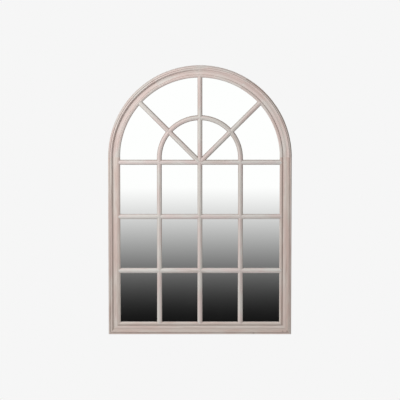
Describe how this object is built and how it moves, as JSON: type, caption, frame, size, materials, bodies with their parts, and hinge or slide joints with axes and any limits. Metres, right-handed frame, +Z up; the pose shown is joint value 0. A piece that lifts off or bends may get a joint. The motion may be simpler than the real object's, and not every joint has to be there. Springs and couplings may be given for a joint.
{
  "type": "window mirror",
  "caption": "Arched wall mirror in a moulded wooden window frame, with glazing bars laid out as a fanlight over rows of panes, a back panel and ring hangers.",
  "frame": {"origin": "on the wall plane, midway between the two points where the wall hooks bear in the raised hanger rings", "axes": "+X to the right seen from the front, +Y back towards the wall, +Z up"},
  "size_m": [0.8, 0.044, 1.182],
  "materials": {
    "washed_wood": "limewashed, matt",
    "dowel_wood": "bare beech",
    "mirror_glass": "silvered glass",
    "backing_board": "fibreboard",
    "zinc_steel": "zinc plated",
    "pad_rubber": "matt"
  },
  "bodies": {
    "mirror": {"left_stile": "washed_wood", "right_stile": "washed_wood", "bottom_rail": "washed_wood", "arch_left": "washed_wood", "arch_crown": "washed_wood", "arch_right": "washed_wood", "transom_bar": "washed_wood", "upper_cross_bar": "washed_wood", "lower_cross_bar": "washed_wood", "centre_upright": "washed_wood", "left_upright": "washed_wood", "right_upright": "washed_wood", "left_ring_bar": "washed_wood", "right_ring_bar": "washed_wood", "left_radial_bar": "washed_wood", "right_radial_bar": "washed_wood", "arch_dowels": "dowel_wood", "corner_biscuits": "dowel_wood", "mirror_sheet": "mirror_glass", "setting_pads": "pad_rubber", "back_panel": "backing_board", "panel_screws": "zinc_steel", "left_hanger_strap": "zinc_steel", "right_hanger_strap": "zinc_steel", "hanger_screws": "zinc_steel", "wall_bumpers": "pad_rubber"},
    "left_ring": {"left_hanger_ring": "zinc_steel"},
    "right_ring": {"right_hanger_ring": "zinc_steel"}
  },
  "joints": [
    {"name": "left_ring_swing", "type": "hinge", "parent": "mirror", "child": "left_ring", "pos_m": [-0.3845, -0.00322, -0.019], "axis": [-1, 0, 0], "range_deg": [0, 170]},
    {"name": "right_ring_swing", "type": "hinge", "parent": "mirror", "child": "right_ring", "pos_m": [0.3845, -0.00322, -0.019], "axis": [-1, 0, 0], "range_deg": [0, 170]}
  ]
}
